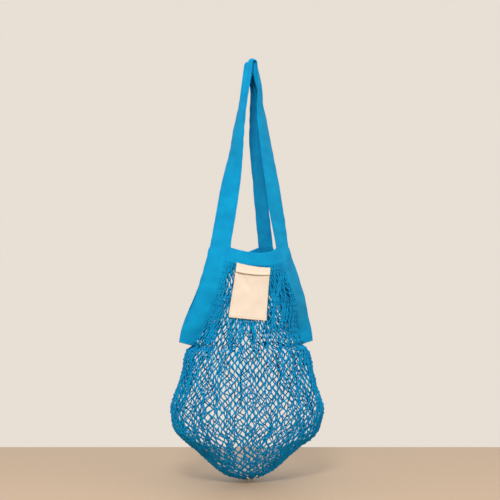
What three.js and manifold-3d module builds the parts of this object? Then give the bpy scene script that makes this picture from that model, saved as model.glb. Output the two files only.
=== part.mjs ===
// A string shopping bag, hanging by its two long tape loops with its body spread as when filled.
// Millimetres, +Z up, +X across the bag, -Y its front. The origin is the point where the loops
// bear on what they hang from. The left side of the mouth hangs nearly closed, the right one open.
import * as THREE from "three";
import { mergeVertices } from "three/addons/utils/BufferGeometryUtils.js";
import Module from "manifold-3d";

const wasm = await Module();
wasm.setup();

// Drops, measured down from the bearing point.
const handleDrop = 342;
const slitDrop = 178;
const bodyDrop = 250;

// Spans of the mouth and of the body at its widest.
const mouthWidth = 124;
const mouthDepth = 80;
const bagWidth = 288;
const bagDepth = 190;

// The two loops: flat cotton tape that bends over a round hook.
const tapeWidth = 37;
const tapeThickness = 2;
const hookRadius = 3;
const hookCup = 0.05;
const tapeCuts = 3;
const footTilt = 7;
const footStart = 1.8;
const rightFootDrop = 3;
const handleSteps = 16;
const slitSteps = 10;
const hookSteps = 4;

// The mouth bands between the loops.
const bandHeight = 27;
const bandThickness = 2.4;
const bandSag = 15;
const bandLift = 5;
const bandSteps = 12;

// The net: knots and open meshes, counted across one side and down the bag.
const netThickness = 2;
const netStrand = 10;
const meshColumns = 10;
const slitRows = 4;
const bodyRows = 8;
const smallestMesh = 0.35;
const largestMesh = 0.86;

// The canvas pocket on the front: a back leaf and, from a little lower, a front leaf.
const pocketHeight = 102;
const pocketTopWidth = 61.5;
const pocketBottomWidth = 66;
const pocketTopCentre = -12;
const pocketBottomCentre = -23.5;
const pocketTilt = 5.5;
const pocketLip = 15;
const pocketSeam = 5;
const pocketLeaf = 1;
const pocketSpace = 1.2;
const pocketColumns = 6;
const pocketRows = 7;

// The pale cord that ties the gathered bottom, a ring with two short ends.
const tieRadius = 1.1;
const tieRing = 6.5;
const tieTail = 10;
const tieSplay = 9;
const tieTurns = 14;
const tieSides = 6;

// Clearances between pieces that are sewn together on the real bag.
const seamGap = 0.6;
const edgeGap = 1.6;
const finGap = 0.8;
const crotchDrop = 6;

// Scales the lift's curve so that its peak is one.
const liftShape = 6.75;

// How finely curves are measured and searched.
const levelStep = 0.02;
const acrossStep = 0.01;
const lengthSamples = 200;
const halvings = 24;

const finHalf = (tapeThickness + finGap) / 2;
const slitFoot = handleDrop + slitDrop;
const bagDrop = slitFoot + bodyDrop;

// Turns rows of numbers under named columns into a list of objects.
function table(columns, rows) {
  return rows.map((row) => Object.fromEntries(columns.map((name, k) => [name, row[k]])));
}

// Level runs from 0 at the hook to 1 at the mouth and 2 at the foot of the side slits. x is a
// share of the half width there and y of the half depth, turn is the way the tape's outer face
// looks, in degrees from the front, wide is a share of its width and cup of its crosswise bow.
const runColumns = ["level", "x", "y", "turn", "wide", "cup"];
const frontLeftRun = table(runColumns, [
  [0.143, -0.234, -0.86, -90, 1, 0.14],
  [0.275, -0.385, -0.77, -83, 1, 0.1],
  [0.477, -0.555, -0.72, -68, 1, 0.05],
  [0.675, -0.748, -0.66, -40, 1, 0.02],
  [0.833, -0.908, -0.65, -33, 1, 0],
  [1, -1.075, -0.65, -35, 1, 0],
  [1.11, -1.033, -0.65, -37, 1, 0],
  [1.35, -0.933, -0.57, -34, 1, 0],
  [1.55, -0.875, -0.42, -26, 1, 0],
  [1.77, -0.872, -0.2, -14, 0.97, 0],
  [1.89, -0.866, -0.07, -5, 0.85, 0],
  [2, -0.856, 0, 0, 0.68, 0],
]);
const frontRightRun = table(runColumns, [
  [0.143, 0.113, -0.84, 72, 1, 0.14],
  [0.278, 0.21, -0.81, 50, 1, 0.1],
  [0.436, 0.33, -0.82, 35, 1, 0.05],
  [0.585, 0.46, -0.83, 27, 1, 0.02],
  [0.81, 0.671, -0.8, 25, 1, 0],
  [1, 0.829, -0.8, 32, 1, 0],
  [1.135, 0.821, -0.8, 36, 1, 0],
  [1.427, 0.831, -0.64, 38, 1, 0],
  [1.607, 0.832, -0.47, 36, 1, 0],
  [1.775, 0.796, -0.24, 24, 0.97, 0],
  [1.888, 0.79, -0.08, 9, 0.85, 0],
  [2, 0.778, 0, 0, 0.68, 0],
]);
const backRightRun = table(runColumns, [
  [0.152, 0.19, 0.6, 94, 0.8, 0.14],
  [0.278, 0.248, 0.72, 99, 1, 0.1],
  [0.436, 0.304, 0.69, 107, 1, 0.05],
  [0.594, 0.395, 0.7, 111, 1, 0.02],
  [0.754, 0.5, 0.715, 114, 1, 0],
  [1, 0.688, 0.72, 116, 1, 0],
  [1.135, 0.7, 0.75, 121, 1, 0],
  [1.427, 0.763, 0.67, 132, 1, 0],
  [1.607, 0.796, 0.5, 144, 1, 0],
  [1.775, 0.788, 0.27, 158, 0.97, 0],
  [1.888, 0.786, 0.09, 171, 0.85, 0],
  [2, 0.778, 0, 180, 0.68, 0],
]);
const backLeftRun = table(runColumns, [
  [0.152, -0.14, 0.46, -92, 0.62, 0.14],
  [0.278, -0.2, 0.7, -96, 1, 0.1],
  [0.436, -0.355, 0.6, -106, 1, 0.05],
  [0.675, -0.613, 0.42, -120, 1, 0.02],
  [0.833, -0.806, 0.325, -130, 1, 0],
  [1, -1.03, 0.27, -138, 1, 0],
  [1.135, -0.962, 0.29, -140, 1, 0],
  [1.427, -0.878, 0.29, -146, 1, 0],
  [1.607, -0.872, 0.24, -154, 1, 0],
  [1.775, -0.865, 0.14, -165, 0.97, 0],
  [1.888, -0.866, 0.05, -174, 0.85, 0],
  [2, -0.856, 0, -180, 0.68, 0],
]);

// The net between the mouth and the foot of the slits: how far each side stands out at its
// middle, and the angle at which it leaves the tapes.
const upperSections = table(["level", "front", "back", "lean"], [
  [1, 0.54, 0.58, 38],
  [1.2, 0.54, 0.6, 48],
  [1.45, 0.55, 0.62, 58],
  [1.75, 0.6, 0.66, 72],
  [2, 0.69, 0.71, 90],
]);

// The closed body below the slits, from their foot at 0 down to the gathered bottom at 1.
const lowerSections = table(["fall", "left", "right", "front", "back"], [
  [0.036, -0.81, 0.735, 0.715, 0.725],
  [0.07, -0.845, 0.79, 0.745, 0.755],
  [0.15, -0.885, 0.82, 0.83, 0.82],
  [0.27, -0.93, 0.855, 0.91, 0.9],
  [0.4, -1, 0.925, 0.97, 0.96],
  [0.47, -1.035, 0.97, 1, 0.99],
  [0.53, -1.03, 0.965, 1, 1],
  [0.59, -1.015, 0.93, 0.98, 0.98],
  [0.66, -0.945, 0.875, 0.93, 0.93],
  [0.74, -0.795, 0.72, 0.8, 0.8],
  [0.845, -0.585, 0.5, 0.59, 0.59],
  [0.925, -0.42, 0.335, 0.41, 0.41],
  [0.97, -0.29, 0.19, 0.26, 0.26],
  [1, -0.09, 0.035, 0.095, 0.095],
]);

// Reads one column of a table at any height, on a smooth curve through its rows.
function read(rows, key, column, at) {
  let k = 0;
  while (k < rows.length - 2 && at > rows[k + 1][key]) {
    k += 1;
  }
  const low = rows[k];
  const high = rows[k + 1];
  const before = rows[Math.max(k - 1, 0)];
  const after = rows[Math.min(k + 2, rows.length - 1)];
  const span = high[key] - low[key];
  const share = THREE.MathUtils.clamp((at - low[key]) / span, 0, 1);
  const slopeLow = (high[column] - before[column]) / (high[key] - before[key]);
  const slopeHigh = (after[column] - low[column]) / (after[key] - low[key]);
  const square = share * share;
  const cube = square * share;
  return (2 * cube - 3 * square + 1) * low[column]
    + (cube - 2 * square + share) * span * slopeLow
    + (3 * square - 2 * cube) * high[column]
    + (cube - square) * span * slopeHigh;
}

function dropAtLevel(level) {
  return handleDrop * Math.min(level, 1) + slitDrop * Math.max(level - 1, 0);
}

function levelAtDrop(drop) {
  return drop < handleDrop ? drop / handleDrop : 1 + (drop - handleDrop) / slitDrop;
}

// Half the span that the x column is a share of, and half the depth for the y column.
function halfSpan(level) {
  return THREE.MathUtils.lerp(mouthWidth, bagWidth, THREE.MathUtils.clamp(level - 1, 0, 1)) / 2;
}

function halfReach(level) {
  return THREE.MathUtils.lerp(tapeWidth, mouthDepth, THREE.MathUtils.clamp(level, 0, 1)) / 2;
}

// Each loop is its two runs, with the side of the bag that it belongs to, and where and how wide
// it is gathered on the hook. Its edge direction points from the free edge of the tape to the
// edge that the net and the band are sewn to.
const loops = {
  front: {
    side: -1, left: frontLeftRun, right: frontRightRun, inward: 1, hook: { y: -0.63, wide: 0.7 },
  },
  back: {
    side: 1, left: backLeftRun, right: backRightRun, inward: -1, hook: { y: 0.46, wide: 0.53 },
  },
};

// Where one run of tape lies at a level: its centre, its width direction, the width of a level
// cut across it, its bow, how far its foot is cut up towards the free edge and how far it sinks.
function tapeAt(loop, end, level) {
  const bend = hookRadius + tapeThickness / 2;
  const hook = {
    ...loop[end][0],
    cup: hookCup,
    level: bend / handleDrop,
    x: (end === "left" ? -bend : bend) / halfSpan(0),
    ...loop.hook,
    turn: end === "left" ? -90 : 90,
  };
  const run = [hook, ...loop[end]];
  const centreAt = (here) => new THREE.Vector3(
    read(run, "level", "x", here) * halfSpan(here),
    loop.side * finHalf + read(run, "level", "y", here) * halfReach(here),
    -dropAtLevel(here),
  );
  const turn = read(run, "level", "turn", level) - (end === "right" ? 180 : 0);
  const angle = THREE.MathUtils.degToRad(turn);
  const across = new THREE.Vector3(Math.cos(angle), Math.sin(angle), 0);
  const above = Math.max(level - levelStep, hook.level);
  const along = centreAt(Math.min(level + levelStep, 2)).sub(centreAt(above));
  const slant = along.normalize().dot(across);
  return {
    centre: centreAt(level),
    across,
    width: read(run, "level", "wide", level) * tapeWidth / Math.sqrt(1 - slant * slant),
    cup: Math.max(read(run, "level", "cup", level), 0),
    tilt: -loop.inward * footTilt * THREE.MathUtils.smoothstep(level, footStart, 2),
    sink: end === "right" ? rightFootDrop * THREE.MathUtils.smoothstep(level, footStart, 2) : 0,
  };
}

// The line beside a tape that the net and the band are sewn to.
function sewnEdge(loop, end, level) {
  const tape = tapeAt(loop, end, level);
  const reach = tape.width / 2 + netThickness / 2 + edgeGap;
  return tape.centre.addScaledVector(tape.across, loop.inward * reach);
}

// The closed body starts at the width that the tapes leave it at the foot of the slits.
function startBody(fall) {
  const left = sewnEdge(loops.front, "left", 2).x / (bagWidth / 2);
  const right = sewnEdge(loops.front, "right", 2).x / (bagWidth / 2);
  const { front, back } = upperSections[upperSections.length - 1];
  return { fall, left, right, front, back };
}
const bodySections = [startBody(0), startBody(crotchDrop / bodyDrop), ...lowerSections];

// One cross-section of a side of the bag as a cubic curve from its left to its right edge.
function sideCurve(loop, drop) {
  const side = loop.side;
  const level = levelAtDrop(drop);
  let left;
  let right;
  let depth;
  let lean = 90;
  if (level < 2) {
    left = sewnEdge(loop, "left", level);
    right = sewnEdge(loop, "right", level);
    const row = side < 0 ? "front" : "back";
    depth = read(upperSections, "level", row, level) * bagDepth / 2;
    lean = read(upperSections, "level", "lean", level);
  } else {
    const fall = (drop - slitFoot) / bodyDrop;
    left = new THREE.Vector3(read(bodySections, "fall", "left", fall) * bagWidth / 2, 0, -drop);
    right = new THREE.Vector3(read(bodySections, "fall", "right", fall) * bagWidth / 2, 0, -drop);
    depth = read(bodySections, "fall", side < 0 ? "front" : "back", fall) * bagDepth / 2;
  }
  const angle = THREE.MathUtils.degToRad(lean);
  const rise = depth - side * (left.y + right.y) / 2;
  // A cubic curve's middle lies three quarters of the way out to its two handles.
  const pull = rise / (0.75 * Math.sin(angle));
  const inset = pull * Math.cos(angle);
  const bow = side * pull * Math.sin(angle);
  return new THREE.CubicBezierCurve3(
    left,
    left.clone().add(new THREE.Vector3(inset, bow, 0)),
    right.clone().add(new THREE.Vector3(-inset, bow, 0)),
    right,
  );
}

// A point of a side of the bag. The mouth sags between the loops, less to the front's left, and
// the sag dies out lower.
function sidePoint(loop, across, drop) {
  const point = sideCurve(loop, drop).getPoint(THREE.MathUtils.clamp(across, 0, 1));
  const fade = THREE.MathUtils.clamp((slitFoot - drop) / slitDrop, 0, 1);
  point.z -= bandSag * 4 * across * (1 - across) * fade;
  if (loop.side < 0) {
    point.z += bandLift * liftShape * across * (1 - across) ** 2 * fade;
  }
  return point;
}

function sideNormal(loop, across, drop) {
  const along = sidePoint(loop, Math.min(across + acrossStep, 1), drop)
    .sub(sidePoint(loop, Math.max(across - acrossStep, 0), drop));
  const down = sidePoint(loop, across, Math.min(drop + 1, bagDrop))
    .sub(sidePoint(loop, across, drop - 1));
  return along.cross(down).multiplyScalar(loop.side).normalize();
}

// Builds a mesh from points and triangles.
function solid(points, triangles) {
  const geometry = new THREE.BufferGeometry();
  geometry.setAttribute("position",
    new THREE.Float32BufferAttribute(points.flatMap((point) => point.toArray()), 3));
  geometry.setIndex(triangles.flat());
  return geometry;
}

// Joins equal closed outlines and closes both ends. Each outline runs along its one long side
// and back along the other, so that its ends are rows of four-sided faces.
function loft(outlines) {
  const count = outlines[0].length;
  const points = outlines.flat();
  const triangles = [];
  for (let k = 0; k < outlines.length - 1; k += 1) {
    for (let n = 0; n < count; n += 1) {
      const a = k * count + n;
      const b = k * count + (n + 1) % count;
      triangles.push([a, b, b + count], [a, b + count, a + count]);
    }
  }
  const last = (outlines.length - 1) * count;
  for (let a = 0; a < count / 2 - 1; a += 1) {
    const [b, c, d] = [a + 1, count - 2 - a, count - 1 - a];
    triangles.push([a, c, b], [a, d, c]);
    triangles.push([last + a, last + b, last + c], [last + a, last + c, last + d]);
  }
  return solid(points, triangles);
}

// A level cut through a tape, along its outer face and back along its inner one.
function stripOutline({ centre, across, width, cup, tilt, sink }, outward) {
  // A bowed tape keeps its width along the bow, so its chord is shorter.
  const chord = width * (1 - (8 / 3) * cup * cup);
  const place = (share, lift) => centre.clone()
    .addScaledVector(across, share * chord)
    .addScaledVector(outward, width * cup * (1 - 4 * share * share) + lift)
    .add(new THREE.Vector3(0, 0, tilt * share + Math.abs(tilt) / 4 - sink));
  const outline = [];
  for (let k = 0; k <= tapeCuts; k += 1) {
    outline.push(place(k / tapeCuts - 0.5, tapeThickness / 2));
  }
  for (let k = tapeCuts; k >= 0; k -= 1) {
    outline.push(place(k / tapeCuts - 0.5, -tapeThickness / 2));
  }
  return outline;
}

// The levels of one run of tape from the hook down to its foot.
function runLevels() {
  const levels = [];
  const start = (hookRadius + tapeThickness / 2) / handleDrop;
  for (let k = 0; k < handleSteps; k += 1) {
    levels.push(THREE.MathUtils.lerp(start, 1, k / handleSteps));
  }
  for (let k = 0; k <= slitSteps; k += 1) {
    levels.push(1 + k / slitSteps);
  }
  return levels;
}

// A whole loop: up the left run, over the hook and down the right run.
function makeLoop(loop) {
  const levels = runLevels();
  const up = levels.map((level) => tapeAt(loop, "left", level)).reverse();
  const down = levels.map((level) => tapeAt(loop, "right", level));
  const top = up[up.length - 1];
  const bend = hookRadius + tapeThickness / 2;
  const over = [];
  for (let k = 1; k < hookSteps; k += 1) {
    const angle = Math.PI * k / hookSteps;
    const centre = new THREE.Vector3(-bend * Math.cos(angle), top.centre.y,
      top.centre.z + bend * Math.sin(angle));
    over.push({ ...top, centre });
  }
  const stations = [...up, ...over, ...down];
  const outlines = stations.map((station, k) => {
    const next = stations[Math.min(k + 1, stations.length - 1)].centre;
    const previous = stations[Math.max(k - 1, 0)].centre;
    const along = next.clone().sub(previous).normalize();
    const outward = station.across.clone().cross(along).normalize();
    return stripOutline(station, outward);
  });
  return loft(outlines);
}

// The band along one side of the mouth, from loop to loop.
function makeBand(loop) {
  const outlines = [];
  for (let k = 0; k <= bandSteps; k += 1) {
    const across = k / bandSteps;
    const high = sidePoint(loop, across, handleDrop);
    const low = sidePoint(loop, across, handleDrop + bandHeight);
    const normal = sideNormal(loop, across, handleDrop + bandHeight / 2);
    const out = normal.multiplyScalar(bandThickness / 2);
    const outline = [
      high.clone().add(out),
      low.clone().add(out),
      low.clone().sub(out),
      high.clone().sub(out),
    ];
    outlines.push(loop.side < 0 ? outline : outline.reverse());
  }
  return loft(outlines);
}

// How far down each row of the net lies: even steps along the middle of the front.
function netDrops() {
  const middle = (drop) => sidePoint(loops.front, 0.5, drop);
  const spread = (from, to, count) => {
    const lengths = [0];
    for (let k = 1; k <= lengthSamples; k += 1) {
      const here = THREE.MathUtils.lerp(from, to, k / lengthSamples);
      const before = THREE.MathUtils.lerp(from, to, (k - 1) / lengthSamples);
      lengths.push(lengths[k - 1] + middle(here).distanceTo(middle(before)));
    }
    return Array.from({ length: count + 1 }, (_, row) => {
      const wanted = lengths[lengthSamples] * row / count;
      const k = Math.max(lengths.findIndex((length) => length >= wanted), 1);
      const share = (wanted - lengths[k - 1]) / (lengths[k] - lengths[k - 1]);
      return THREE.MathUtils.lerp(from, to, (k - 1 + share) / lengthSamples);
    });
  };
  const netTop = handleDrop + bandHeight + seamGap;
  const crotch = slitFoot + crotchDrop;
  return [...spread(netTop, crotch, slitRows), ...spread(crotch, bagDrop, bodyRows).slice(1)];
}

// The net as one wall pierced by its meshes. Knots stand where column and row add up to an even
// number, and between them lies one mesh, or half a mesh along the mouth, the slits and the bottom.
function makeNet() {
  const drops = netDrops();
  const rows = slitRows + bodyRows;
  const round = 2 * meshColumns;
  const points = [];
  const normals = [];
  const known = new Map();

  const place = (column, row, side) => {
    const open = row < slitRows;
    const turn = ((column % round) + round) % round;
    const onBack = open ? side > 0 : turn > meshColumns;
    const across = onBack ? 2 - (turn || round) / meshColumns : turn / meshColumns;
    const floor = Math.min(Math.floor(row), rows - 1);
    const drop = THREE.MathUtils.lerp(drops[floor], drops[floor + 1], row - floor);
    const key = [open && side > 0, turn.toFixed(4), row.toFixed(4)].join(" ");
    return { key, loop: onBack ? loops.back : loops.front, across, drop };
  };
  const vertex = (column, row, side) => {
    const { key, loop, across, drop } = place(column, row, side);
    if (!known.has(key)) {
      known.set(key, points.length);
      points.push(sidePoint(loop, across, drop));
      normals.push(sideNormal(loop, across, drop));
    }
    return known.get(key);
  };

  const triangles = [];
  const pierce = (border, side) => {
    const outer = border.map(([column, row]) => vertex(column, row, side));
    const middle = [0, 1].map((k) => border.reduce((sum, spot) => sum + spot[k], 0) / border.length);
    const { loop, across, drop } = place(middle[0], middle[1], side);
    const core = sidePoint(loop, across, drop);
    const reach = Math.min(...outer.map((a, k) => {
      const line = new THREE.Line3(points[a], points[outer[(k + 1) % outer.length]]);
      return line.closestPointToPoint(core, true, new THREE.Vector3()).distanceTo(core);
    }));
    const share = THREE.MathUtils.clamp(1 - netStrand / 2 / reach, smallestMesh, largestMesh);
    const inner = border.map(([column, row]) => vertex(
      THREE.MathUtils.lerp(middle[0], column, share),
      THREE.MathUtils.lerp(middle[1], row, share),
      side,
    ));
    outer.forEach((a, k) => {
      const next = (k + 1) % outer.length;
      triangles.push([a, outer[next], inner[next]], [a, inner[next], inner[k]]);
    });
  };

  for (let row = 0; row <= rows; row += 1) {
    (row <= slitRows ? [-1, 1] : [0]).forEach((side) => {
      const first = side > 0 ? meshColumns : 0;
      const last = side < 0 ? meshColumns : round;
      for (let column = first; column <= last; column += 1) {
        if ((column + row) % 2 === 0 || (side === 0 && column === last)) {
          continue;
        }
        const up = row > 0;
        const down = row < rows;
        const left = side === 0 || column > first;
        const right = side === 0 || column < last;
        const corners = [
          [up, column, row - 1],
          [up, left ? column - 0.5 : column, row - 0.5],
          [true, left ? column - 1 : column, row],
          [down, left ? column - 0.5 : column, row + 0.5],
          [true, column, down ? row + 1 : row],
          [down, right ? column + 0.5 : column, row + 0.5],
          [true, right ? column + 1 : column, row],
          [up, right ? column + 0.5 : column, row - 0.5],
          [!up, column, row],
        ];
        pierce(corners.filter(([kept]) => kept).map(([, x, y]) => [x, y]), side);
      }
    });
  }

  const rim = Array.from({ length: round }, (_, column) => vertex(column, rows, 0));
  const core = points.length;
  points.push(rim.reduce((sum, k) => sum.add(points[k]), new THREE.Vector3()).divideScalar(round));
  normals.push(new THREE.Vector3(0, 0, -1));
  rim.forEach((a, k) => triangles.push([a, core, rim[(k + 1) % round]]));
  return thicken(points, normals, triangles, netThickness);
}

// Gives a surface its wall, with an edge face along every border and mesh.
function thicken(points, normals, triangles, thickness) {
  const count = points.length;
  const outer = points.map((point, k) => point.clone().addScaledVector(normals[k], thickness / 2));
  const inner = points.map((point, k) => point.clone().addScaledVector(normals[k], -thickness / 2));
  const walls = [];
  const edges = new Map();
  triangles.forEach(([a, b, c]) => {
    [[a, b], [b, c], [c, a]].forEach(([from, to]) => edges.set(`${from} ${to}`, [from, to]));
  });
  edges.forEach(([from, to]) => {
    if (!edges.has(`${to} ${from}`)) {
      walls.push([to, from, from + count], [to, from + count, to + count]);
    }
  });
  const inside = triangles.map(([a, b, c]) => [c + count, b + count, a + count]);
  return solid([...outer, ...inner], [...triangles, ...inside, ...walls]);
}

// A point of the front at a given distance across, lifted off the net.
function frontPoint(x, drop, lift) {
  let low = 0;
  let high = 1;
  for (let k = 0; k < halvings; k += 1) {
    const middle = (low + high) / 2;
    if (sidePoint(loops.front, middle, drop).x < x) {
      low = middle;
    } else {
      high = middle;
    }
  }
  const normal = sideNormal(loops.front, low, drop);
  return sidePoint(loops.front, low, drop).addScaledVector(normal, netThickness / 2 + lift);
}

// Turns one closed mesh into a solid that can be joined and cut.
function toManifold(geometry) {
  geometry.deleteAttribute("normal");
  geometry.deleteAttribute("uv");
  const merged = mergeVertices(geometry);
  return new wasm.Manifold(new wasm.Mesh({
    numProp: 3,
    vertProperties: new Float32Array(merged.attributes.position.array),
    triVerts: new Uint32Array(merged.index.array),
  }));
}

function fromManifold(manifold) {
  const { vertProperties, triVerts } = manifold.getMesh();
  const geometry = new THREE.BufferGeometry();
  geometry.setAttribute("position", new THREE.BufferAttribute(vertProperties, 3));
  geometry.setIndex(new THREE.BufferAttribute(triVerts, 1));
  return geometry;
}

// One sheet of the pocket between shares of its width and height, from one lift to another.
function pocketSheet(columns, rows, from, to) {
  const place = (across, down, lift) => {
    const width = THREE.MathUtils.lerp(pocketTopWidth, pocketBottomWidth, down);
    const centre = THREE.MathUtils.lerp(pocketTopCentre, pocketBottomCentre, down);
    const top = handleDrop + bandHeight + seamGap + (across - 0.5) * pocketTilt;
    return frontPoint(centre + (across - 0.5) * width, top + down * pocketHeight, lift);
  };
  const points = [to, from].flatMap((lift) => rows
    .flatMap((down) => columns.map((across) => place(across, down, lift))));
  const wide = columns.length;
  const tall = rows.length;
  const triangles = [];
  const quad = (a, b, c, d) => triangles.push([a, b, c], [a, c, d]);
  const at = (column, row, layer) => layer * wide * tall + row * wide + column;
  for (let row = 0; row < tall - 1; row += 1) {
    for (let column = 0; column < wide - 1; column += 1) {
      quad(at(column, row, 0), at(column, row + 1, 0), at(column + 1, row + 1, 0), at(column + 1, row, 0));
      quad(at(column, row, 1), at(column + 1, row, 1), at(column + 1, row + 1, 1), at(column, row + 1, 1));
    }
    quad(at(0, row, 0), at(0, row, 1), at(0, row + 1, 1), at(0, row + 1, 0));
    quad(at(wide - 1, row, 0), at(wide - 1, row + 1, 0), at(wide - 1, row + 1, 1), at(wide - 1, row, 1));
  }
  for (let column = 0; column < wide - 1; column += 1) {
    quad(at(column, 0, 0), at(column + 1, 0, 0), at(column + 1, 0, 1), at(column, 0, 1));
    quad(at(column, tall - 1, 0), at(column, tall - 1, 1), at(column + 1, tall - 1, 1),
      at(column + 1, tall - 1, 0));
  }
  return toManifold(solid(points, triangles));
}

// Even stops from one share to another.
function stops(from, to, count) {
  return Array.from({ length: count + 1 }, (_, k) => THREE.MathUtils.lerp(from, to, k / count));
}

// The pocket is sewn shut at its sides and bottom and open below its lip.
function makePocket() {
  const lip = pocketLip / pocketHeight;
  const side = pocketSeam / pocketBottomWidth;
  const hem = pocketSeam / pocketHeight;
  const columns = [0, ...stops(side, 1 - side, pocketColumns), 1];
  const rows = [...stops(lip, 1 - hem, pocketRows), 1];
  const above = lip / 2;
  const backLeaf = pocketSheet(columns, [0, above, ...rows], seamGap, seamGap + pocketLeaf);
  const face = seamGap + 2 * pocketLeaf + pocketSpace;
  const frontLeaf = pocketSheet(columns, rows, seamGap, face);
  const space = pocketSheet(columns.slice(1, -1), [above, ...rows.slice(0, -1)],
    seamGap + pocketLeaf, face - pocketLeaf);
  return fromManifold(backLeaf.add(frontLeaf).subtract(space));
}

// The tie hugs the underside of the gathered net, and its ends lie up against the front.
function makeTie() {
  const foot = sidePoint(loops.front, 0.5, bagDrop);
  const centre = new THREE.Vector3(foot.x, 0, -bagDrop - netThickness / 2 - seamGap - tieRadius);
  const ring = new THREE.TorusGeometry(tieRing, tieRadius, tieSides, tieTurns);
  ring.translate(...centre.toArray());
  const lift = seamGap + tieRadius;
  const profile = new THREE.Shape(new THREE.Path().absarc(0, 0, tieRadius, 0, 2 * Math.PI)
    .getPoints(tieSides).slice(0, -1));
  let tie = toManifold(ring);
  [-1, 1].forEach((side) => {
    const route = new THREE.CatmullRomCurve3([
      centre.clone().add(new THREE.Vector3(0, -tieRing, 0)),
      frontPoint(foot.x + side * tieSplay / 3, bagDrop - 1, lift + tieRadius),
      frontPoint(foot.x + side * tieSplay * 2 / 3, bagDrop - tieTail / 2, lift),
      frontPoint(foot.x + side * tieSplay, bagDrop - tieTail, lift),
    ]);
    const tail = new THREE.ExtrudeGeometry(profile, {
      steps: tieSides,
      bevelEnabled: false,
      extrudePath: route,
    });
    tie = tie.add(toManifold(tail));
  });
  return fromManifold(tie);
}

const colours = {
  tape: { color: 0x0a97c9, roughness: 0.85, metalness: 0 },
  net: { color: 0x0f82b4, roughness: 0.9, metalness: 0 },
  canvas: { color: 0xf6e8d3, roughness: 0.95, metalness: 0 },
  tie: { color: 0xe9dcc0, roughness: 0.9, metalness: 0 },
};

function piece(name, geometry, finish) {
  const mesh = new THREE.Mesh(geometry, new THREE.MeshStandardMaterial(colours[finish]));
  mesh.name = name;
  return mesh;
}

const bag = new THREE.Group();
bag.add(piece("net_body", makeNet(), "net"));
bag.add(piece("front_loop", makeLoop(loops.front), "tape"));
bag.add(piece("back_loop", makeLoop(loops.back), "tape"));
bag.add(piece("front_band", makeBand(loops.front), "tape"));
bag.add(piece("back_band", makeBand(loops.back), "tape"));
bag.add(piece("front_pocket", makePocket(), "canvas"));
bag.add(piece("bottom_tie", makeTie(), "tie"));

export default bag;
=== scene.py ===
# A string shopping bag hanging by its two tape loops. Metres, +Z up, +X across the bag, -Y its
# front. The origin is the point where the loops bear on what they hang from.
import math

import bpy
import numpy as np
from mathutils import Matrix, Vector


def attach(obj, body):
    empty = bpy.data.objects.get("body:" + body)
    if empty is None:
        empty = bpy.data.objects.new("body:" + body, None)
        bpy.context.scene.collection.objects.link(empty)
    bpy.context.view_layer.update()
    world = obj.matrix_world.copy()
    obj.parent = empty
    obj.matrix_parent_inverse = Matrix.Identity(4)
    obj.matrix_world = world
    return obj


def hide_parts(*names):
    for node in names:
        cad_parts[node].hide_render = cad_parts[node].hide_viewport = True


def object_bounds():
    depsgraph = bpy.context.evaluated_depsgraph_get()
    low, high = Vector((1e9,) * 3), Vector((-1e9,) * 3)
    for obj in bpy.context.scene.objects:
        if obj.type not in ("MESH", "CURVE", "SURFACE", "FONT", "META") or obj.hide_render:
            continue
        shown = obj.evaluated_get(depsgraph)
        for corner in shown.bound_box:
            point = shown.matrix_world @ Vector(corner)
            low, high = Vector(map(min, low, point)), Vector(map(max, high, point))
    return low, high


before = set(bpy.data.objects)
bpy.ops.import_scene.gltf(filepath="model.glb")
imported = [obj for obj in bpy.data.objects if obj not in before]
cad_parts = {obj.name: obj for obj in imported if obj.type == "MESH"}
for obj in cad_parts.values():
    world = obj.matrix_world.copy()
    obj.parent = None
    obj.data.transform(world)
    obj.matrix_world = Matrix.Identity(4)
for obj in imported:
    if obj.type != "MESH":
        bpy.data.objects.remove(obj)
cad_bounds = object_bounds()
chance = np.random.default_rng(7)

# Drops, measured down from the bearing point, and the spans of the bag.
HANDLE_DROP = 0.342
SLIT_DROP = 0.178
BODY_DROP = 0.250
SLIT_FOOT = HANDLE_DROP + SLIT_DROP
BAG_DROP = SLIT_FOOT + BODY_DROP
MOUTH_WIDTH = 0.124
MOUTH_DEPTH = 0.080
BAG_WIDTH = 0.288
BAG_DEPTH = 0.190

# Tape, bands and net.
TAPE_WIDTH = 0.037
TAPE_THICKNESS = 0.0019
HOOK_RADIUS = 0.003
HOOK_BEND = HOOK_RADIUS + 0.001
HOOK_CUP = 0.05
FIN_HALF = 0.0014
BAND_HEIGHT = 0.027
BAND_SAG = 0.015
CROTCH_DROP = 0.006
MOUTH_LIFT = 0.005
# The lift follows (1 - across) ** 2 * across, which peaks at 4 / 27.
LIFT_SHAPE = 27 / 4
# The middle of a cubic curve lies three quarters of the way out to its handles.
CURVE_SHARE = 3 / 4
EDGE_GAP = 0.0026
CORD_RADIUS = 0.00122
BAR_LENGTH = 0.0099

# The canvas pocket.
POCKET_TOP = HANDLE_DROP + BAND_HEIGHT - 0.0003
POCKET_HEIGHT = 0.102
POCKET_TILT = 0.0055
POCKET_TOP_WIDTH = 0.0615
POCKET_BOTTOM_WIDTH = 0.066
POCKET_TOP_CENTRE = -0.012
POCKET_BOTTOM_CENTRE = -0.0235
HEM_HEIGHT = 0.016
LIP_HEIGHT = 0.0114
LIP_SHARE = 0.112

# Stitches: their pitch, their length and, where it isn't the usual one, their radius.
LOOP_STITCH = (0.0038, 0.0026)
FOOT_STITCH = (0.0034, 0.0024)
BAND_STITCH = (0.0036, 0.0025)
POCKET_STITCH = (0.0034, 0.0024, 0.00022)


def lerp(a, b, share):
    return a + (b - a) * share


def smooth(share):
    return share * share * (3 - 2 * share)


def lengths_along(path):
    """The length of a path up to each of its points."""
    return np.concatenate([[0], np.cumsum(np.linalg.norm(np.diff(path, axis=0), axis=1))])


def table(names, rows):
    """Rows of numbers under named columns, as one array to a name."""
    return dict(zip(names.split(), np.array(rows, dtype=float).T))


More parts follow.
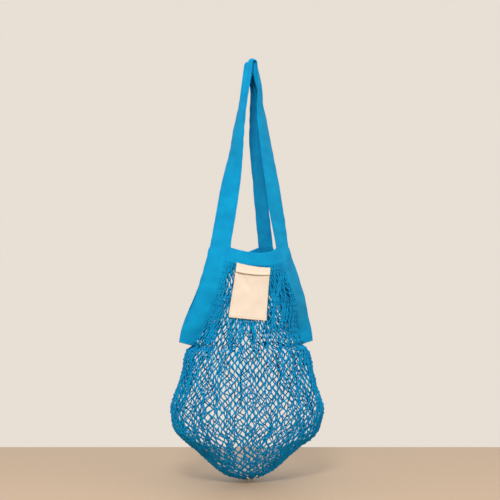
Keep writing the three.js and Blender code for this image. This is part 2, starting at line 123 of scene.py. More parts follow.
RUN_NAMES = "level x y turn wide cup"
FRONT_LEFT = table(RUN_NAMES, [
    [0.143, -0.234, -0.86, -90, 1, 0.14],
    [0.275, -0.385, -0.77, -83, 1, 0.1],
    [0.477, -0.555, -0.72, -68, 1, 0.05],
    [0.675, -0.748, -0.66, -40, 1, 0.02],
    [0.833, -0.908, -0.65, -33, 1, 0],
    [1, -1.075, -0.65, -35, 1, 0],
    [1.11, -1.033, -0.65, -37, 1, 0],
    [1.35, -0.933, -0.57, -34, 1, 0],
    [1.55, -0.875, -0.42, -26, 1, 0],
    [1.77, -0.872, -0.2, -14, 0.97, 0],
    [1.89, -0.866, -0.07, -5, 0.85, 0],
    [2, -0.856, 0, 0, 0.68, 0],
])
FRONT_RIGHT = table(RUN_NAMES, [
    [0.143, 0.113, -0.84, 72, 1, 0.14],
    [0.278, 0.21, -0.81, 50, 1, 0.1],
    [0.436, 0.33, -0.82, 35, 1, 0.05],
    [0.585, 0.46, -0.83, 27, 1, 0.02],
    [0.81, 0.671, -0.8, 25, 1, 0],
    [1, 0.829, -0.8, 32, 1, 0],
    [1.135, 0.821, -0.8, 36, 1, 0],
    [1.427, 0.831, -0.64, 38, 1, 0],
    [1.607, 0.832, -0.47, 36, 1, 0],
    [1.775, 0.796, -0.24, 24, 0.97, 0],
    [1.888, 0.79, -0.08, 9, 0.85, 0],
    [2, 0.778, 0, 0, 0.68, 0],
])
BACK_RIGHT = table(RUN_NAMES, [
    [0.152, 0.2, 0.6, 94, 0.88, 0.14],
    [0.278, 0.248, 0.72, 99, 1, 0.1],
    [0.436, 0.304, 0.69, 107, 1, 0.05],
    [0.594, 0.395, 0.7, 111, 1, 0.02],
    [0.754, 0.5, 0.715, 114, 1, 0],
    [1, 0.688, 0.72, 116, 1, 0],
    [1.135, 0.7, 0.75, 121, 1, 0],
    [1.427, 0.763, 0.67, 132, 1, 0],
    [1.607, 0.796, 0.5, 144, 1, 0],
    [1.775, 0.788, 0.27, 158, 0.97, 0],
    [1.888, 0.786, 0.09, 171, 0.85, 0],
    [2, 0.778, 0, 180, 0.68, 0],
])
BACK_LEFT = table(RUN_NAMES, [
    [0.152, -0.14, 0.46, -92, 0.62, 0.14],
    [0.278, -0.2, 0.7, -96, 1, 0.1],
    [0.436, -0.355, 0.6, -106, 1, 0.05],
    [0.675, -0.613, 0.42, -120, 1, 0.02],
    [0.833, -0.806, 0.325, -130, 1, 0],
    [1, -1.03, 0.27, -138, 1, 0],
    [1.135, -0.962, 0.29, -140, 1, 0],
    [1.427, -0.878, 0.29, -146, 1, 0],
    [1.607, -0.872, 0.24, -154, 1, 0],
    [1.775, -0.865, 0.14, -165, 0.97, 0],
    [1.888, -0.866, 0.05, -174, 0.85, 0],
    [2, -0.856, 0, -180, 0.68, 0],
])
UPPER = table("level front back lean", [
    [1, 0.54, 0.58, 38],
    [1.2, 0.54, 0.6, 48],
    [1.45, 0.55, 0.62, 58],
    [1.75, 0.6, 0.66, 72],
    [2, 0.69, 0.71, 90],
])
LOWER_NAMES = "fall left right front back"
LOWER_ROWS = [
    [0.036, -0.81, 0.735, 0.715, 0.725],
    [0.07, -0.845, 0.79, 0.745, 0.755],
    [0.15, -0.885, 0.82, 0.83, 0.82],
    [0.27, -0.93, 0.855, 0.91, 0.9],
    [0.4, -1, 0.925, 0.97, 0.96],
    [0.47, -1.035, 0.97, 1, 0.99],
    [0.53, -1.03, 0.965, 1, 1],
    [0.59, -1.015, 0.93, 0.98, 0.98],
    [0.66, -0.945, 0.875, 0.93, 0.93],
    [0.74, -0.795, 0.72, 0.8, 0.8],
    [0.845, -0.585, 0.5, 0.59, 0.59],
    [0.925, -0.42, 0.335, 0.41, 0.41],
    [0.97, -0.29, 0.19, 0.26, 0.26],
    [1, -0.09, 0.035, 0.095, 0.095],
]


def read(rows, key, column, at):
    """One column of a table at any height, on a smooth curve through its rows."""
    keys = rows[key]
    values = rows[column]
    last = len(keys) - 1
    k = np.clip(np.searchsorted(keys, at, side="left") - 1, 0, last - 1)
    before = np.maximum(k - 1, 0)
    after = np.minimum(k + 2, last)
    span = keys[k + 1] - keys[k]
    share = np.clip((at - keys[k]) / span, 0, 1)
    low_slope = (values[k + 1] - values[before]) / (keys[k + 1] - keys[before])
    high_slope = (values[after] - values[k]) / (keys[after] - keys[k])
    square = share * share
    cube = square * share
    return ((2 * cube - 3 * square + 1) * values[k] + (cube - 2 * square + share) * span * low_slope
            + (3 * square - 2 * cube) * values[k + 1] + (cube - square) * span * high_slope)


def drop_at(level):
    return HANDLE_DROP * np.minimum(level, 1) + SLIT_DROP * np.maximum(level - 1, 0)


def level_at(drop):
    return np.where(drop < HANDLE_DROP, drop / HANDLE_DROP, 1 + (drop - HANDLE_DROP) / SLIT_DROP)


def half_span(level):
    return lerp(MOUTH_WIDTH, BAG_WIDTH, np.clip(level - 1, 0, 1)) / 2


def half_reach(level):
    return lerp(TAPE_WIDTH, MOUTH_DEPTH, np.clip(level, 0, 1)) / 2


def with_hook(run, hook, left):
    """A run with its start on the hook in front of its rows."""
    way = -1 if left else 1
    start = {"level": HOOK_BEND / HANDLE_DROP, "x": way * HOOK_BEND / (MOUTH_WIDTH / 2),
             "y": hook["y"], "turn": way * 90, "wide": hook["wide"], "cup": HOOK_CUP}
    return {name: np.concatenate([[start[name]], run[name]]) for name in run}


class Loop:
    """One tape loop: the side of the bag that it is on, and its two runs."""

    def __init__(self, side, left, right, hook):
        self.side = side
        self.inward = -side
        self.runs = {"left": with_hook(left, hook, True), "right": with_hook(right, hook, False)}

    def centre(self, end, level):
        run = self.runs[end]
        level = np.asarray(level, dtype=float)
        return np.stack([
            read(run, "level", "x", level) * half_span(level),
            self.side * FIN_HALF + read(run, "level", "y", level) * half_reach(level),
            -drop_at(level),
        ], axis=-1)

    def across(self, end, level):
        turn = np.radians(read(self.runs[end], "level", "turn", level) - (180 if end == "right" else 0))
        return np.stack([np.cos(turn), np.sin(turn), np.zeros_like(turn)], axis=-1)

    def width(self, end, level):
        """The width of a level cut, which is wider than the tape where the tape slants."""
        step = 0.02
        first = self.runs[end]["level"][0]
        above = self.centre(end, np.maximum(level - step, first))
        along = unit(self.centre(end, np.minimum(level + step, 2)) - above)
        slant = np.sum(along * self.across(end, level), axis=-1)
        return read(self.runs[end], "level", "wide", level) * TAPE_WIDTH / np.sqrt(1 - slant * slant)

    def sewn_edge(self, end, level, overlap=0.0):
        """The line beside the tape that the net and the band are sewn to, or under the tape."""
        reach = self.width(end, level) / 2 + EDGE_GAP - overlap
        return self.centre(end, level) + self.across(end, level) * (self.inward * reach)[..., None]


def unit(vectors):
    return vectors / np.maximum(np.linalg.norm(vectors, axis=-1, keepdims=True), 1e-12)


FRONT = Loop(-1, FRONT_LEFT, FRONT_RIGHT, {"y": -0.63, "wide": 0.7})
BACK = Loop(1, BACK_LEFT, BACK_RIGHT, {"y": 0.46, "wide": 0.53})


def start_body(fall):
    """The closed body starts at the width that the tapes leave it at the foot of the slits."""
    foot = np.array(2.0)
    left = FRONT.sewn_edge("left", foot)[0] / (BAG_WIDTH / 2)
    right = FRONT.sewn_edge("right", foot)[0] / (BAG_WIDTH / 2)
    return [fall, left, right, UPPER["front"][-1], UPPER["back"][-1]]


LOWER = table(LOWER_NAMES, [start_body(0), start_body(CROTCH_DROP / BODY_DROP)] + LOWER_ROWS)


def section(loop, drop, overlap):
    """The four handles of the cubic curve that one side of the bag follows at each drop."""
    side = loop.side
    level = np.minimum(level_at(drop), 2)
    row = "front" if side < 0 else "back"
    fall = np.clip((drop - SLIT_FOOT) / BODY_DROP, 0, 1)
    is_open = (drop < SLIT_FOOT)[..., None]
    closed = {}
    for end in ("left", "right"):
        reach = read(LOWER, "fall", end, fall) * BAG_WIDTH / 2
        closed[end] = np.stack([reach, np.zeros_like(drop), -drop], axis=-1)
    left = np.where(is_open, loop.sewn_edge("left", level, overlap), closed["left"])
    right = np.where(is_open, loop.sewn_edge("right", level, overlap), closed["right"])
    open_depth = read(UPPER, "level", row, level)
    closed_depth = read(LOWER, "fall", row, fall)
    depth = np.where(drop < SLIT_FOOT, open_depth, closed_depth) * BAG_DEPTH / 2
    lean = np.radians(np.where(drop < SLIT_FOOT, read(UPPER, "level", "lean", level), 90.0))
    rise = depth - side * (left[..., 1] + right[..., 1]) / 2
    pull = rise / (CURVE_SHARE * np.sin(lean))
    inset = pull * np.cos(lean)
    bow = side * pull * np.sin(lean)
    shift = np.stack([inset, bow, np.zeros_like(bow)], axis=-1)
    mirrored = np.stack([-inset, bow, np.zeros_like(bow)], axis=-1)
    return left, left + shift, right + mirrored, right


def side_point(loop, across, drop, overlap=0.0):
    """Points of one side of the bag, by their share of the way across it and their drop."""
    across, drop = np.broadcast_arrays(np.asarray(across, dtype=float), np.asarray(drop, dtype=float))
    a, b, c, d = section(loop, drop, overlap)
    t = across[..., None]
    point = (1 - t) ** 3 * a + 3 * (1 - t) ** 2 * t * b + 3 * (1 - t) * t * t * c + t ** 3 * d
    fade = np.clip((SLIT_FOOT - drop) / SLIT_DROP, 0, 1)
    point[..., 2] -= BAND_SAG * 4 * across * (1 - across) * fade
    if loop.side < 0:
        point[..., 2] += MOUTH_LIFT * (1 - across) ** 2 * across * LIFT_SHAPE * fade
    return point


def side_normal(loop, across, drop, overlap=0.0):
    step = 0.01
    along = side_point(loop, np.minimum(across + step, 1), drop, overlap) \
        - side_point(loop, np.maximum(across - step, 0), drop, overlap)
    down = side_point(loop, across, np.minimum(drop + 0.001, BAG_DROP), overlap) \
        - side_point(loop, across, drop - 0.001, overlap)
    return unit(np.cross(along, down)) * loop.side


# Smooth waves, the same each run.

def waves(count, low, high):
    """Directions, lengths and starts of a few waves between two wavelengths."""
    rows = []
    for _ in range(count):
        way = unit(chance.normal(size=3))
        rows.append((way * 2 * math.pi / chance.uniform(low, high), chance.uniform(0, 2 * math.pi)))
    return rows


def swell(points, rows):
    total = np.zeros(points.shape[:-1])
    for way, start in rows:
        total += np.sin(points @ way + start)
    return total / math.sqrt(len(rows))


# Mesh building.

class Builder:
    """Collects quads and triangles with a texture coordinate in metres, and makes one object."""

    def __init__(self, name):
        self.name = name
        self.points = []
        self.faces = []
        self.coords = []
        self.count = 0

    def add(self, points, faces, coords):
        points = np.asarray(points, dtype=float).reshape(-1, 3)
        faces = np.asarray(faces, dtype=int)
        self.points.append(points)
        self.faces.append(faces + self.count)
        self.coords.append(np.asarray(coords, dtype=float).reshape(-1, 2))
        self.count += len(points)

    def make(self, slot, finish, replaces=()):
        points = np.concatenate(self.points)
        coords = np.concatenate(self.coords)
        faces = [face for part in self.faces for face in part.tolist()]
        mesh = bpy.data.meshes.new(self.name)
        mesh.from_pydata(points.tolist(), [], faces)
        layer = mesh.uv_layers.new(name="UVMap")
        loop_points = np.empty(len(mesh.loops), dtype=np.int32)
        mesh.loops.foreach_get("vertex_index", loop_points)
        layer.data.foreach_set("uv", coords[loop_points].ravel())
        mesh.polygons.foreach_set("use_smooth", np.ones(len(mesh.polygons), dtype=bool))
        mesh.materials.append(finish)
        mesh.update()
        piece = bpy.data.objects.new(self.name, mesh)
        bpy.context.scene.collection.objects.link(piece)
        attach(piece, "root")
        for node in replaces:
            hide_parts(node)
        return piece


def grid_faces(rows, columns, wrap=False):
    """Quads of a grid whose points are stored row by row."""
    k, n = np.meshgrid(np.arange(rows - 1), np.arange(columns if wrap else columns - 1), indexing="ij")
    following = (n + 1) % columns
    return np.stack([k * columns + n, k * columns + following, (k + 1) * columns + following,
                     (k + 1) * columns + n], axis=-1).reshape(-1, 4)


def tube(builder, path, radius, sides):
    """A closed tube along a path, with a texture coordinate along and around it."""
    path = np.asarray(path, dtype=float)
    count = len(path)
    along = unit(np.gradient(path, axis=0))
    side = unit(np.cross(along[0], [0.3, 0.1, 1.0] if abs(along[0][2]) < 0.8 else [1.0, 0.2, 0.0]))
    sides_way = np.empty_like(path)
    for k in range(count):
        side = side - along[k] * np.dot(side, along[k])
        side = side / math.sqrt(np.dot(side, side))
        sides_way[k] = side
    other = np.cross(along, sides_way)
    turn = np.linspace(0, 2 * math.pi, sides, endpoint=False)
    radii = np.broadcast_to(np.asarray(radius, dtype=float), (count,))[:, None, None]
    ring = (sides_way[:, None, :] * np.cos(turn)[None, :, None]
            + other[:, None, :] * np.sin(turn)[None, :, None]) * radii
    points = (path[:, None, :] + ring).reshape(-1, 3)
    around = np.linspace(0, 1, sides, endpoint=False)
    coords = np.stack(np.broadcast_arrays(lengths_along(path)[:, None], around[None, :]), axis=-1)
    builder.add(points, grid_faces(count, sides, wrap=True), coords)
    for k, order in ((0, -1), (count - 1, 1)):
        cap = np.arange(sides)[::order] + k * sides + builder.count - len(points)
        builder.faces.append(cap[None, :])


def slab(builder, outer, inner, coords):
    """A thin closed sheet between two equal grids of points, rows by columns."""
    rows, columns = outer.shape[:2]
    size = rows * columns
    top = grid_faces(rows, columns)
    bottom = top[:, ::-1] + size
    rim = np.concatenate([
        np.arange(columns - 1),
        np.arange(rows - 1) * columns + columns - 1,
        np.arange(columns - 1, 0, -1) + (rows - 1) * columns,
        np.arange(rows - 1, 0, -1) * columns,
    ])
    following = np.roll(rim, -1)
    walls = np.stack([following, rim, rim + size, following + size], axis=-1)
    builder.add(np.concatenate([outer.reshape(-1, 3), inner.reshape(-1, 3)]),
                np.concatenate([top, bottom, walls]),
                np.concatenate([coords.reshape(-1, 2), coords.reshape(-1, 2)]))


# Materials.

def linear(red, green, blue):
    """A screen colour, 0 to 255, as light."""
    screen = [c / 255 for c in (red, green, blue)]
    return [((c + 0.055) / 1.055) ** 2.4 if c > 0.04045 else c / 12.92 for c in screen] + [1.0]


COTTON_ROUGHNESS = 0.85
PATCH_SCALE = 40.0
GRAIN_SCALE = PATCH_SCALE * 22


def cloth(name, light, dark, threads, twist, depth, fuzz):
    """Woven or twisted cotton. The threads run across the texture coordinate and slant by twist."""
    made = bpy.data.materials.new(name)
    made.use_nodes = True
    nodes = made.node_tree.nodes
    links = made.node_tree.links
    shader = nodes["Principled BSDF"]
    shader.inputs["Roughness"].default_value = COTTON_ROUGHNESS
    shader.inputs["Specular IOR Level"].default_value = 0.12
    shader.inputs["Sheen Weight"].default_value = fuzz
    shader.inputs["Sheen Roughness"].default_value = 0.5
    place = nodes.new("ShaderNodeTexCoord")

    weave = []
    for count, angle in threads:
        turned = nodes.new("ShaderNodeMapping")
        turned.inputs["Rotation"].default_value = (0, 0, math.radians(angle))
        turned.inputs["Scale"].default_value = (1, twist, 1)
        wave = nodes.new("ShaderNodeTexWave")
        wave.inputs["Scale"].default_value = count
        wave.inputs["Distortion"].default_value = 0.6
        wave.inputs["Detail"].default_value = 1.0
        wave.inputs["Detail Scale"].default_value = 3.0
        links.new(place.outputs["UV"], turned.inputs["Vector"])
        links.new(turned.outputs["Vector"], wave.inputs["Vector"])
        weave.append(wave.outputs["Fac"])
    height = weave[0]
    if len(weave) > 1:
        both = nodes.new("ShaderNodeMath")
        both.operation = "MULTIPLY"
        links.new(weave[0], both.inputs[0])
        links.new(weave[1], both.inputs[1])
        height = both.outputs[0]

    broad = nodes.new("ShaderNodeTexNoise")
    broad.inputs["Scale"].default_value = PATCH_SCALE
    broad.inputs["Detail"].default_value = 4.0
    fine = nodes.new("ShaderNodeTexNoise")
    fine.inputs["Scale"].default_value = GRAIN_SCALE
    fine.inputs["Detail"].default_value = 2.0
    links.new(place.outputs["Object"], broad.inputs["Vector"])
    links.new(place.outputs["Object"], fine.inputs["Vector"])

    shade = nodes.new("ShaderNodeMath")
    shade.operation = "MULTIPLY_ADD"
    shade.inputs[1].default_value = 0.5
    links.new(broad.outputs["Fac"], shade.inputs[0])
    grain = nodes.new("ShaderNodeMath")
    grain.operation = "MULTIPLY_ADD"
    grain.inputs[1].default_value = 0.3
    links.new(fine.outputs["Fac"], grain.inputs[0])
    relief = nodes.new("ShaderNodeMath")
    relief.operation = "MULTIPLY"
    relief.inputs[1].default_value = 0.25
    links.new(height, relief.inputs[0])
    links.new(relief.outputs[0], grain.inputs[2])
    links.new(grain.outputs[0], shade.inputs[2])
    ramp = nodes.new("ShaderNodeValToRGB")
    ramp.color_ramp.elements[0].position = 0.25
    ramp.color_ramp.elements[0].color = dark
    ramp.color_ramp.elements[1].position = 0.85
    ramp.color_ramp.elements[1].color = light
    links.new(shade.outputs[0], ramp.inputs["Fac"])
    links.new(ramp.outputs["Color"], shader.inputs["Base Color"])

    bump = nodes.new("ShaderNodeBump")
    bump.inputs["Strength"].default_value = 0.6
    bump.inputs["Distance"].default_value = depth
    links.new(height, bump.inputs["Height"])
    links.new(bump.outputs["Normal"], shader.inputs["Normal"])
    return made


TAPE = cloth("tape", linear(0, 162, 210), linear(0, 120, 172), [(330, 63), (330, -63)], 1, 0.00012, fuzz=0.03)
NET = cloth("net", linear(0, 168, 216), linear(0, 104, 166), [(620, 35)], 0.004, 0.0002, fuzz=0.02)
THREAD = cloth("thread", linear(0, 152, 208), linear(0, 124, 184), [(900, 30)], 0.004, 0.0001, fuzz=0.02)
CANVAS = cloth("canvas", linear(228, 215, 200), linear(206, 192, 175), [(420, 0), (420, 90)], 1, 0.00012,
               fuzz=0.03)
TIE = cloth("tie", linear(247, 235, 212), linear(216, 196, 162), [(500, 35)], 0.006, 0.0003, fuzz=0.05)


# The net: short bars between rings of knots. Its meshes keep their size where the body narrows
# to the tied foot, as in work that starts there and gains meshes as it goes up.

MESH_COUNTS = table("drop count", [
    [0.366, 24],
    [0.43, 32],
    [0.702, 24],
    [0.732, 16],
    [0.749, 12],
    [0.7585, 8],
    [0.7645, 6],
    [0.7685, 4],
])


NET_TUCK = 0.003


def net_rows():
    """The drops of the rings of knots and the meshes in each, so that bars keep their length."""
    drops = np.linspace(HANDLE_DROP + BAND_HEIGHT - NET_TUCK, BAG_DROP, 900)
    middle = side_point(FRONT, 0.5, drops)
    lengths = lengths_along(middle)
    spread = side_point(FRONT, np.linspace(0, 1, 41)[None, :], drops[:, None])
    widths = np.sum(np.linalg.norm(np.diff(spread, axis=1), axis=2), axis=1)
    counts = MESH_COUNTS["count"][np.searchsorted(MESH_COUNTS["drop"], drops, side="right") - 1]
    places = [0.0]
    while places[-1] < lengths[-1]:
        k = np.searchsorted(lengths, places[-1])
        half_mesh = widths[k] / counts[k] / 2
        places.append(places[-1] + math.sqrt(BAR_LENGTH ** 2 - half_mesh ** 2))
    places = np.array(places) * lengths[-1] / places[-1]
    rows = np.interp(places, lengths, drops)
    picked = np.searchsorted(MESH_COUNTS["drop"], rows + 1e-9, side="right") - 1
    return rows, MESH_COUNTS["count"][np.maximum(picked, 0)].astype(int)


ROW_DROPS, ROW_COUNTS = net_rows()
ROWS = len(ROW_DROPS)
BULGES = waves(7, 0.07, 0.16)
RIPPLES = waves(9, 0.018, 0.04)
GATHERS = [(way * (1, 1, 0.25), start) for way, start in waves(9, 0.014, 0.04)]
BULGE_HEIGHT = 0.0017
RIPPLE_HEIGHT = 0.0007
NET_OVERLAP = 0.0052
EDGE_TUCK = 0.0018
POCKET_REACH = 0.036
POCKET_PRESS = 0.0012


def net_surface(loop, across, drop):
    """The net's own surface, which swells a little between its edges and not under the pocket."""
    point = side_point(loop, across, drop, NET_OVERLAP)
    normal = side_normal(loop, across, drop, NET_OVERLAP)
    open_edge = np.clip((SLIT_FOOT + 0.03 - drop) / 0.05, 0, 1)
    edge = np.minimum(across, 1 - across)
    free = 1 - open_edge * np.clip(1 - edge / 0.12, 0, 1)
    ends = np.clip((drop - HANDLE_DROP - BAND_HEIGHT) / 0.05, 0, 1) * np.clip((BAG_DROP - drop) / 0.06, 0, 1)
    lift = (BULGE_HEIGHT * swell(point, BULGES) + RIPPLE_HEIGHT * swell(point, RIPPLES)) * ends * free
    if loop.side < 0:
        level = (drop - POCKET_TOP) / POCKET_HEIGHT
        centre = lerp(POCKET_TOP_CENTRE, POCKET_BOTTOM_CENTRE, level)
        beside = np.abs(point[..., 0] - centre) / POCKET_REACH
        behind = np.clip((1.35 - beside) / 0.35, 0, 1) * np.clip((1.22 - level) / 0.15, 0, 1)
        lift = lift * (1 - behind) - POCKET_PRESS * behind
    under = -EDGE_TUCK * open_edge * np.clip(1 - edge / 0.05, 0, 1)
    return point + normal * (lift + under)[..., None], normal


class Net:
    """The knots of one side, ring by ring, moved a little along the surface."""

    def __init__(self, loop):
        self.side = loop.side
        shares, rows = [], []
        for row, count in enumerate(ROW_COUNTS):
            shares.append((np.arange(count + 1) if row % 2 == 0 else np.arange(count) + 0.5) / count)
            rows.append(np.full(len(shares[-1]), row))
        self.starts = np.cumsum([0] + [len(share) for share in shares])
        self.shares = shares
        across = np.concatenate(shares)
        self.rows = np.concatenate(rows)
        drop = ROW_DROPS[self.rows]
        pitch = 1 / ROW_COUNTS[self.rows]
        inside = np.clip(np.minimum(across, 1 - across) / pitch, 0, 1)
        above_foot = np.clip((BAG_DROP - drop) / 0.03, 0, 1)
        settled = inside * np.clip((drop - ROW_DROPS[0]) / 0.02, 0, 1) * above_foot
        place = side_point(loop, across, drop)
        high = np.clip((SLIT_FOOT - drop) / 0.12, 0, 1)
        drift = swell(place, GATHERS) * (0.3 + 0.4 * high)
        across = across + settled * pitch * (chance.normal(size=across.shape) * (0.09 + 0.05 * high) + drift)
        drop = drop + settled * chance.normal(size=drop.shape) * 0.0009
        self.edge = np.minimum(across, 1 - across) < 1e-6
        self.points, self.normals = net_surface(loop, np.clip(across, 0, 1), np.minimum(drop, BAG_DROP))
        below = net_surface(loop, np.clip(across, 0, 1), np.minimum(drop + 0.002, BAG_DROP))[0]
        above = net_surface(loop, np.clip(across, 0, 1), np.minimum(drop + 0.002, BAG_DROP) - 0.004)[0]
        self.down = unit(below - above)
        self.aside = unit(np.cross(self.down, self.normals))

    def bars(self):
        """Each knot joins its nearest neighbours on both hands in the next ring."""
        pairs = set()
        for row in range(ROWS - 1):
            high, low = self.shares[row], self.shares[row + 1]
            for these, those, turned in ((high, low, False), (low, high, True)):
                right = np.searchsorted(those, these + 1e-9)
                for k, beside in enumerate(right):
                    for other in (beside - 1, beside):
                        if 0 <= other < len(those):
                            a, b = (other, k) if turned else (k, other)
                            pairs.add((self.starts[row] + a, self.starts[row + 1] + b))
        return np.array(sorted(pairs))


BAR_STOPS = np.array([0.0, 0.22, 0.78, 1.0])
BAR_SIDES = 5


def spin_bars(builder, net):
    """Cords between knots. At a knot they lie side by side."""
    upper, lower = net.bars().T
    chord = net.points[lower] - net.points[upper]
    count = len(upper)
    leans = [np.sign(np.sum(chord * net.aside[knots], axis=1)) for knots in (upper, lower)]
    gap = np.abs(np.sum(chord * net.aside[upper], axis=1))
    shift = np.minimum(CORD_RADIUS * 0.85, gap * 0.3)
    lift = (leans[0] * CORD_RADIUS * 0.3)[:, None] * net.normals[upper]
    start = net.points[upper] + net.aside[upper] * (leans[0] * shift)[:, None] + lift
    end = net.points[lower] - net.aside[lower] * (leans[1] * shift)[:, None] + lift
    slack = chance.normal(size=(2, count)) * 0.00025
    along = unit(end - start)
    side = unit(np.cross(along, net.normals[upper]))
    other = np.cross(side, along)
    path = start[:, None, :] + (end - start)[:, None, :] * BAR_STOPS[None, :, None]
    bow = np.array([0, 1, 1, 0])[None, :, None]
    path = path + bow * (side * slack[0][:, None] + other * slack[1][:, None])[:, None, :]
    turn = np.linspace(0, 2 * math.pi, BAR_SIDES, endpoint=False)
    ring = side[:, None, :] * np.cos(turn)[None, :, None] + other[:, None, :] * np.sin(turn)[None, :, None]
    points = path[:, :, None, :] + ring[:, None, :, :] * CORD_RADIUS
    stops = len(BAR_STOPS)
    size = stops * BAR_SIDES
    starts = (np.arange(count) * size)[:, None, None]
    walls = grid_faces(stops, BAR_SIDES, wrap=True)
    offset = chance.uniform(0, 0.01, size=count)[:, None]
    lengths = offset + np.linalg.norm(end - start, axis=1)[:, None] * BAR_STOPS[None, :]
    coords = np.stack(np.broadcast_arrays(
        lengths[:, :, None], np.linspace(0, 1, BAR_SIDES, endpoint=False)[None, None, :]), axis=-1)
    base = builder.count
    builder.add(points, (walls[None] + starts).reshape(-1, 4), coords)
    for cap in (np.arange(BAR_SIDES)[::-1], np.arange(BAR_SIDES) + size - BAR_SIDES):
        builder.faces.append((cap[None, None, :] + starts).reshape(-1, BAR_SIDES) + base)


KNOT_TURNS = 1.6
KNOT_POINTS = 10
KNOT_SIDES = 5


def tie_knots(builder, net):
    """A small wrapped knot at every crossing, all from one coil."""
    turn = np.linspace(0, 2 * math.pi * KNOT_TURNS, KNOT_POINTS)
    coil = np.stack([np.cos(turn) * 1.6, np.sin(turn) * 1.3, np.linspace(-0.8, 0.8, KNOT_POINTS)], axis=-1)
    shape = Builder("coil")
    tube(shape, coil * CORD_RADIUS, CORD_RADIUS * 0.75, KNOT_SIDES)
    template = np.concatenate(shape.points)
    coords = np.concatenate(shape.coords)
    keep = (net.rows > 0) & ((net.rows < ROWS - 1) & ~(net.edge & (ROW_DROPS[net.rows] < SLIT_FOOT)))
    if net.side > 0:
        keep &= ~net.edge
    centre = net.points[keep]
    tilt = (chance.normal(size=len(centre)) * 0.35)[:, None]
    size = chance.uniform(0.88, 1.12, size=len(centre))[:, None, None]
    down = net.down[keep] * np.cos(tilt) + net.aside[keep] * np.sin(tilt)
    aside = net.aside[keep] * np.cos(tilt) - net.down[keep] * np.sin(tilt)
    axes = np.stack([aside, net.normals[keep], down], axis=1)
    points = centre[:, None, :] + np.einsum("vk,nkc->nvc", template, axes) * size
    starts = (np.arange(len(centre)) * len(template))[:, None, None]
    base = builder.count
    builder.add(points, (shape.faces[0][None] + starts).reshape(-1, 4), np.tile(coords, (len(centre), 1)))
    for cap in shape.faces[1:]:
        builder.faces.append((cap[None] + starts).reshape(-1, KNOT_SIDES) + base)


def weave_net():
    pieces = []
    for loop, place in ((FRONT, "front"), (BACK, "back")):
        net = Net(loop)
        cords = Builder("net_cords_" + place)
        knots = Builder("net_knots_" + place)
        spin_bars(cords, net)
        tie_knots(knots, net)
        pieces.append((cords, knots))
    return pieces


# The loops: folded cotton tape with rounded edges, creased where it is gathered on the hook.

TAPE_SPACING = 0.003
HOOK_CUTS = 8
FOOT_TILT = 0.007
FOOT_START = 1.8
RIGHT_FOOT_DROP = 0.003
BACK_HOOK_DROP = 0.0022
TAPE_SHARES = np.linspace(-0.5, 0.5, 41)
FOLDS = waves(6, 0.05, 0.11)
PUCKERS = waves(8, 0.018, 0.04)


def run_levels():
    start = HOOK_BEND / HANDLE_DROP
    count = int((HANDLE_DROP - HOOK_BEND) / TAPE_SPACING)
    low_count = int(SLIT_DROP / TAPE_SPACING)
    return np.concatenate([np.linspace(start, 1, count, endpoint=False), np.linspace(1, 2, low_count + 1)])


def tape_stations(loop):
    """Centre, width direction, width, cup and level of each cut through a whole loop."""
    levels = run_levels()
    stations = []
    for end in ("left", "right"):
        stations.append([loop.centre(end, levels), loop.across(end, levels), loop.width(end, levels),
                         np.maximum(read(loop.runs[end], "level", "cup", levels), 0), levels])
    left = [values[::-1] for values in stations[0]]
    right = stations[1]
    top = left[0][-1]
    angle = np.pi * np.arange(1, HOOK_CUTS + 1) / (HOOK_CUTS + 1)
    over = np.stack([-HOOK_BEND * np.cos(angle), np.full(HOOK_CUTS, top[1]),
                     top[2] + HOOK_BEND * np.sin(angle)], axis=-1)
    bridge = [over] + [np.repeat(values[-1:], HOOK_CUTS, axis=0) for values in left[1:]]
    return [np.concatenate([a, b, c]) for a, b, c in zip(left, bridge, right)]


def creases(level, share, phase):
    """Lengthwise folds, deepest at the hook, as shares of the tape's width."""
    near = np.exp(-(level / 0.22) ** 2)
    first = np.exp(-((share - 0.16 - 0.5 * level * phase) / 0.055) ** 2)
    second = np.exp(-((share + 0.2 + 0.4 * level * phase) / 0.05) ** 2)
    ridge = np.exp(-((share + 0.02 - 0.2 * level * phase) / 0.08) ** 2)
    return near * (0.1 * ridge - 0.28 * first - 0.26 * second)


def foot_share(level):
    """How far a tape has turned into its foot, from 0 to 1."""
    return smooth(np.clip((level - FOOT_START) / (2 - FOOT_START), 0, 1))


def tape_surface(loop):
    centre, across, width, cup, level = tape_stations(loop)
    along = unit(np.gradient(centre, axis=0))
    outward = unit(np.cross(across, along))
    share = TAPE_SHARES[None, :]
    chord = (width * (1 - 8 / 3 * cup * cup))[:, None]
    middle = centre[:, None, :] + across[:, None, :] * (share * chord)[..., None]
    foot = foot_share(level)[:, None]
    middle[..., 2] += foot * FOOT_TILT * (0.25 - loop.inward * share)
    middle[len(level) // 2:, :, 2] -= foot[len(level) // 2:] * RIGHT_FOOT_DROP
    if loop.side > 0:
        middle[..., 2] -= BACK_HOOK_DROP * np.exp(-(level / 0.09) ** 2)[:, None]
    phase = np.where(np.arange(len(level)) < len(level) / 2, 1, -1)[:, None]
    bow = width[:, None] * (cup[:, None] * (1 - 4 * share * share) + creases(level[:, None], share, phase))
    loose = np.clip(level / 0.3, 0, 1)[:, None] * np.clip((2 - level) / 0.25, 0, 1)[:, None]
    wave = (swell(middle, FOLDS) * 0.0012 + swell(middle, PUCKERS) * 0.0004) * loose
    coords = np.stack(np.broadcast_arrays(share * TAPE_WIDTH, lengths_along(centre)[:, None]), axis=-1)
    return middle, outward, bow + wave, coords


def edge_round(share):
    """The half thickness, thinned and rounded at the edges."""
    far = np.abs(share) * 2
    return 0.5 * np.sqrt(np.clip(1 - np.clip((far - 0.93) / 0.075, 0, 1) ** 2, 0.04, 1))


